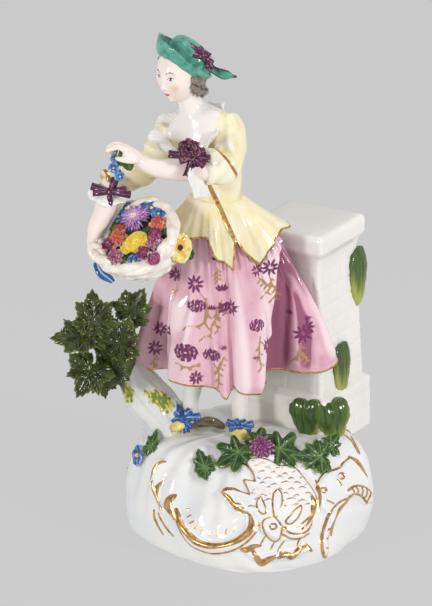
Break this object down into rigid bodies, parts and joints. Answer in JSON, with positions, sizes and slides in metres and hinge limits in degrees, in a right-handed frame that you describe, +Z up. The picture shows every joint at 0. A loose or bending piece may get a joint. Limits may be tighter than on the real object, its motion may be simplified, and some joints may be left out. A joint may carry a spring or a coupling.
{
  "type": "porcelain lady figure",
  "caption": "Standing lady in hat, jacket and flowered skirt gathering flowers into a basket, on a scrolled mound beside a masonry pillar and a vine, in painted porcelain.",
  "frame": {"origin": "middle of the mound's flat underside", "axes": "+Z up along the figure, -Y towards the front, +X to the viewer's right"},
  "size_m": [0.1471, 0.1146, 0.2428],
  "materials": {
    "white_glaze": "clear lead glaze over white porcelain, glossy",
    "lilac_enamel": "lilac-pink enamel with purple and gold flower sprigs, glossy",
    "yellow_enamel": "pale yellow enamel edged with gold, glossy",
    "green_enamel": "dark leaf-green enamel, glossy",
    "turquoise_enamel": "turquoise-green enamel, glossy",
    "purple_enamel": "dark purple enamel, glossy",
    "blue_enamel": "cobalt-blue enamel, glossy",
    "flesh_enamel": "white glaze tinted pink, with painted features and hair, glossy",
    "flower_enamel": "modelled flowers in yellow, orange, lilac, purple and blue enamels, glossy",
    "gilding": "fired and burnished gold"
  },
  "bodies": {
    "root": {"lady_figure": "white_glaze"}
  },
  "joints": []
}
